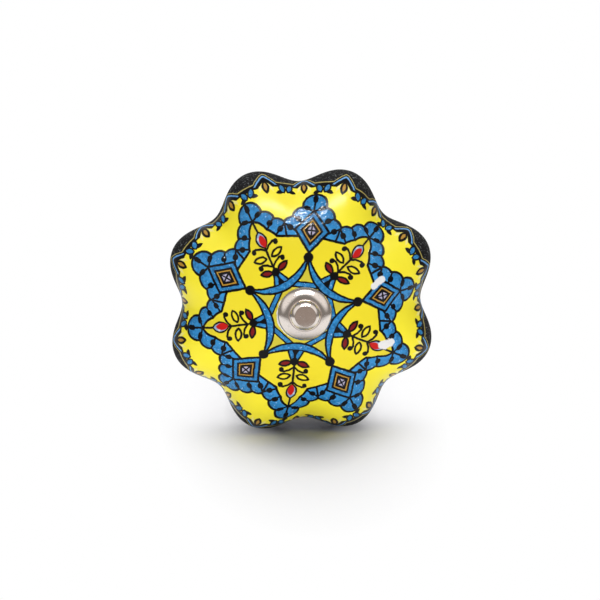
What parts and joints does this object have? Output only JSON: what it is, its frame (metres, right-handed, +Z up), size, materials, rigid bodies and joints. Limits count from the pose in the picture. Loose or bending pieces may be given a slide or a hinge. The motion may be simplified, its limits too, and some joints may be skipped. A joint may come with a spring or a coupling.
{
  "type": "cabinet knob",
  "caption": "Round lobed ceramic cabinet knob with a printed star pattern, a metal front cap and collar, and a threaded stud that passes through a door or drawer front.",
  "frame": {"origin": "on the stud's axis, in the plane where the collar's rim meets the door or drawer front", "axes": "+Y along the stud, through the door to its back; -Y towards the user, where the printed face looks; +Z up on an upright door, with two lobes to each side of it"},
  "size_m": [0.0424, 0.0647, 0.0424],
  "materials": {
    "glazed_ceramic": "white ceramic under a clear gloss glaze, with a fired print in yellow, blue, black, red and gold on the face",
    "nickel_cap": "polished nickel plate, lightly pitted",
    "zinc_stud": "bright zinc plate with a rolled thread",
    "nickel_collar": "nickel plate, spun, slightly duller than the cap",
    "zinc_washer": "zinc plate, tumbled",
    "zinc_nut": "zinc plate"
  },
  "bodies": {
    "root": {"ceramic_body": "glazed_ceramic", "front_cap": "nickel_cap", "threaded_stud": "zinc_stud", "base_collar": "nickel_collar", "flat_washer": "zinc_washer", "hex_nut": "zinc_nut"}
  },
  "joints": []
}
